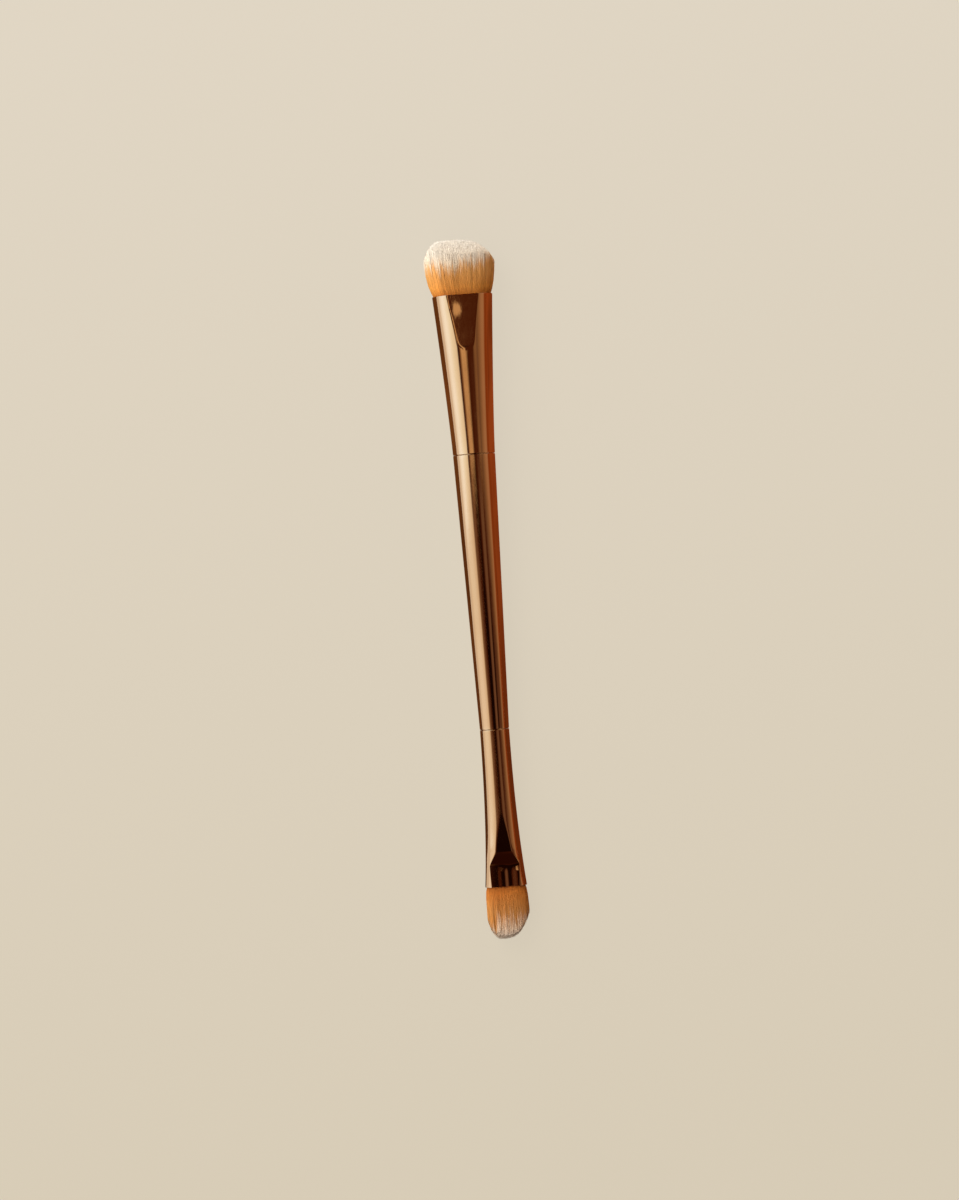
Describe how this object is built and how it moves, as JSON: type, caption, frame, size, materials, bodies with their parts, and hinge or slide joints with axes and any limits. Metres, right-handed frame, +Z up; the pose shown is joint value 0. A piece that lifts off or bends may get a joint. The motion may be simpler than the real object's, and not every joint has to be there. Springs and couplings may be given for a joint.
{
  "type": "contour brush",
  "caption": "Double-ended make-up brush: full domed tuft and small slant-cut tuft in pressed metal ferrules on a tapered metal tube.",
  "frame": {"origin": "centre of the bounding box at the surface the brush lies on", "axes": "+X along the brush towards the large head, +Y towards the long side of the slant-cut small tuft, +Z up out of the surface, through the thin direction of both mouths"},
  "size_m": [0.1546, 0.0157, 0.0107],
  "materials": {
    "handle_metal": "polished, copper-coloured anodised tube",
    "ferrule_metal": "polished, copper-coloured pressed sheet",
    "plug_plastic": "as moulded",
    "joint_glue": "set adhesive",
    "epoxy": "cast epoxy",
    "large_bristles": "synthetic filaments, amber at the root and cream at the tip",
    "small_bristles": "synthetic filaments, amber with pale pinkish tips"
  },
  "bodies": {
    "root": {"large_bristle_tuft": "large_bristles", "large_epoxy_plug": "epoxy", "large_ferrule": "ferrule_metal", "large_ferrule_glue": "joint_glue", "large_joint_plug": "plug_plastic", "large_tube_glue": "joint_glue", "handle_tube": "handle_metal", "small_tube_glue": "joint_glue", "small_joint_plug": "plug_plastic", "small_ferrule_glue": "joint_glue", "small_ferrule": "ferrule_metal", "small_epoxy_plug": "epoxy", "small_bristle_tuft": "small_bristles"}
  },
  "joints": []
}
